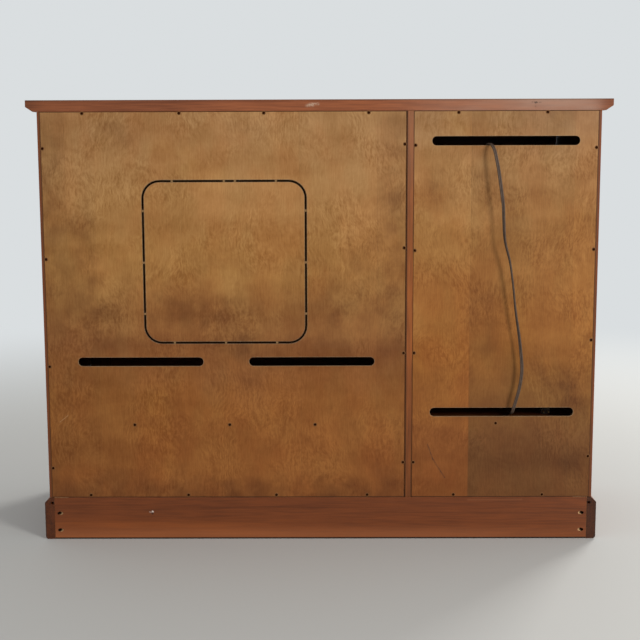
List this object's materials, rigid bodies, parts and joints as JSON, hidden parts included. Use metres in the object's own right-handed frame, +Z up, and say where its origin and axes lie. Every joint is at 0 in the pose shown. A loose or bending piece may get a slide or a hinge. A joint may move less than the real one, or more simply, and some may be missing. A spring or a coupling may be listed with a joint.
{
  "type": "television cabinet",
  "caption": "Free-standing wooden television cabinet: wide television bay and media bay behind framed doors, drawers below, screwed-on plywood back with cable slots and a knock-out.",
  "frame": {"origin": "on the floor, under the middle of the top board", "axes": "+X to the right and -Y out of the doors as seen from the front, +Y out of the screwed-on back, +Z up"},
  "size_m": [1.524, 0.5967, 1.176],
  "materials": {
    "stained_cherry": "satin lacquer",
    "cherry_top": "satin lacquer",
    "birch_plywood": "satin",
    "pale_maple": "satin",
    "turned_cherry": "satin lacquer",
    "hinge_brass": "satin",
    "brown_plastic": "satin",
    "lead_vinyl": "satin"
  },
  "bodies": {
    "cabinet": {"side_left": "stained_cherry", "side_right": "stained_cherry", "partition": "stained_cherry", "bottom_panel": "stained_cherry", "media_shelf": "stained_cherry", "tv_shelf": "stained_cherry", "top_rail_front": "stained_cherry", "top_rail_rear": "stained_cherry", "loose_shelf_lower": "stained_cherry", "loose_shelf_upper": "stained_cherry", "plinth_front": "stained_cherry", "plinth_left": "stained_cherry", "plinth_right": "stained_cherry", "plinth_rear": "stained_cherry", "top_panel": "cherry_top", "back_tv": "birch_plywood", "back_media": "birch_plywood", "media_door_case_leaf_lower": "hinge_brass", "media_door_case_leaf_upper": "hinge_brass", "tv_door_left_case_leaf_lower": "hinge_brass", "tv_door_left_case_leaf_upper": "hinge_brass", "tv_door_right_case_leaf_lower": "hinge_brass", "tv_door_right_case_leaf_upper": "hinge_brass", "outlet_block": "brown_plastic", "cord_run": "lead_vinyl", "cord_coil": "lead_vinyl", "cord_plug": "brown_plastic"},
    "media_door": {"media_door_stile_left": "stained_cherry", "media_door_stile_right": "stained_cherry", "media_door_rail_bottom": "stained_cherry", "media_door_rail_top": "stained_cherry", "media_door_panel": "stained_cherry", "media_door_knob": "turned_cherry", "media_door_door_leaf_lower": "hinge_brass", "media_door_door_leaf_upper": "hinge_brass"},
    "tv_door_left": {"tv_door_left_stile_left": "stained_cherry", "tv_door_left_stile_right": "stained_cherry", "tv_door_left_rail_bottom": "stained_cherry", "tv_door_left_rail_top": "stained_cherry", "tv_door_left_panel": "stained_cherry", "tv_door_left_knob": "turned_cherry", "tv_door_left_door_leaf_lower": "hinge_brass", "tv_door_left_door_leaf_upper": "hinge_brass"},
    "tv_door_right": {"tv_door_right_stile_left": "stained_cherry", "tv_door_right_stile_right": "stained_cherry", "tv_door_right_rail_bottom": "stained_cherry", "tv_door_right_rail_top": "stained_cherry", "tv_door_right_panel": "stained_cherry", "tv_door_right_knob": "turned_cherry", "tv_door_right_door_leaf_lower": "hinge_brass", "tv_door_right_door_leaf_upper": "hinge_brass"},
    "media_drawer": {"media_drawer_front": "stained_cherry", "media_drawer_box": "pale_maple", "media_drawer_bottom": "pale_maple", "media_drawer_knob": "turned_cherry"},
    "tv_drawer": {"tv_drawer_front": "stained_cherry", "tv_drawer_box": "pale_maple", "tv_drawer_bottom": "pale_maple", "tv_drawer_knob_left": "turned_cherry", "tv_drawer_knob_right": "turned_cherry"}
  },
  "joints": [
    {"name": "media_door_hinge", "type": "hinge", "parent": "cabinet", "child": "media_door", "pos_m": [-0.7125, -0.2543, 0.7268], "axis": [0, 0, -1], "range_deg": [0, 110]},
    {"name": "tv_door_left_hinge", "type": "hinge", "parent": "cabinet", "child": "tv_door_left", "pos_m": [-0.2175, -0.2543, 0.7268], "axis": [0, 0, -1], "range_deg": [0, 110]},
    {"name": "tv_door_right_hinge", "type": "hinge", "parent": "cabinet", "child": "tv_door_right", "pos_m": [0.7125, -0.2543, 0.7268], "axis": [0, 0, 1], "range_deg": [0, 110]},
    {"name": "media_drawer_slide", "type": "slide", "parent": "cabinet", "child": "media_drawer", "axis": [0, -1, 0], "range_m": [0, 0.38]},
    {"name": "tv_drawer_slide", "type": "slide", "parent": "cabinet", "child": "tv_drawer", "axis": [0, -1, 0], "range_m": [0, 0.38]}
  ]
}
